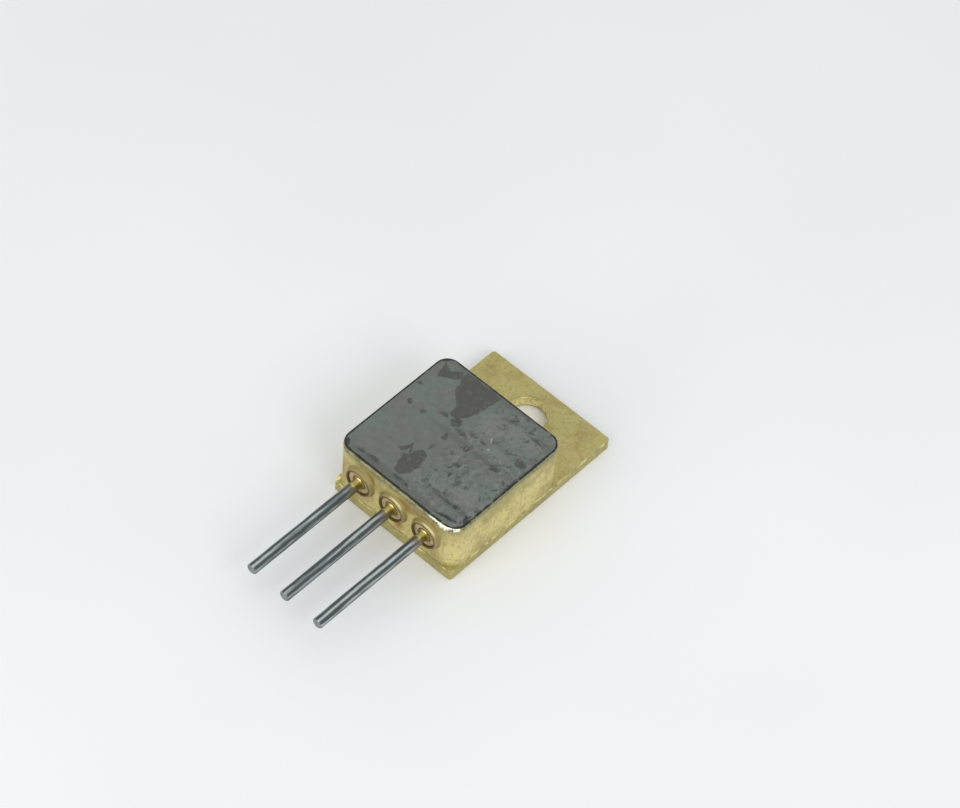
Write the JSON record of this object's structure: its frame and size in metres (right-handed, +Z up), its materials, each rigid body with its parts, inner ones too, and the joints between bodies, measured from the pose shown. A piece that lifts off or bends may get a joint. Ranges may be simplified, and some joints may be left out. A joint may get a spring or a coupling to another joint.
{
  "type": "power transistor",
  "caption": "Sealed metal-package power transistor with a gold-plated flange, a mounting hole in its tab, a grey lid and round leads in a row through ceramic seals.",
  "frame": {"origin": "on the mounting face, at the axis of the mounting hole in the tab", "axes": "+Y from the leads to the tab, +X to the right as seen from the leads, +Z up through the lid"},
  "size_m": [0.0138, 0.0334, 0.0065],
  "materials": {
    "gold_base": "satin gold plate",
    "gold_frame": "satin gold plate, stained",
    "seal_solder": "mottled solder bead",
    "lid_metal": "dull grey plate with dark blotches and scuffs",
    "gold_ring": "gold plate",
    "seal_ceramic": "matte pink-beige ceramic",
    "lead_metal": "solder-dipped, gold at the root",
    "isolator_ceramic": "white ceramic",
    "pad_metal": "gold plate",
    "chip_solder": "bright solder",
    "silicon": "polished silicon",
    "bond_wire": "drawn wire"
  },
  "bodies": {
    "root": {"base_plate": "gold_base", "frame": "gold_frame", "lid_seal": "seal_solder", "lid": "lid_metal", "seal_ring_1": "gold_ring", "seal_ring_2": "gold_ring", "seal_ring_3": "gold_ring", "ceramic_bush_1": "seal_ceramic", "ceramic_bush_2": "seal_ceramic", "ceramic_bush_3": "seal_ceramic", "lead_1": "lead_metal", "lead_2": "lead_metal", "lead_3": "lead_metal", "isolator": "isolator_ceramic", "die_pad": "pad_metal", "die_solder": "chip_solder", "die": "silicon", "drain_strap": "pad_metal", "source_wire_1": "bond_wire", "source_wire_2": "bond_wire", "source_wire_3": "bond_wire", "gate_wire": "bond_wire"}
  },
  "joints": []
}
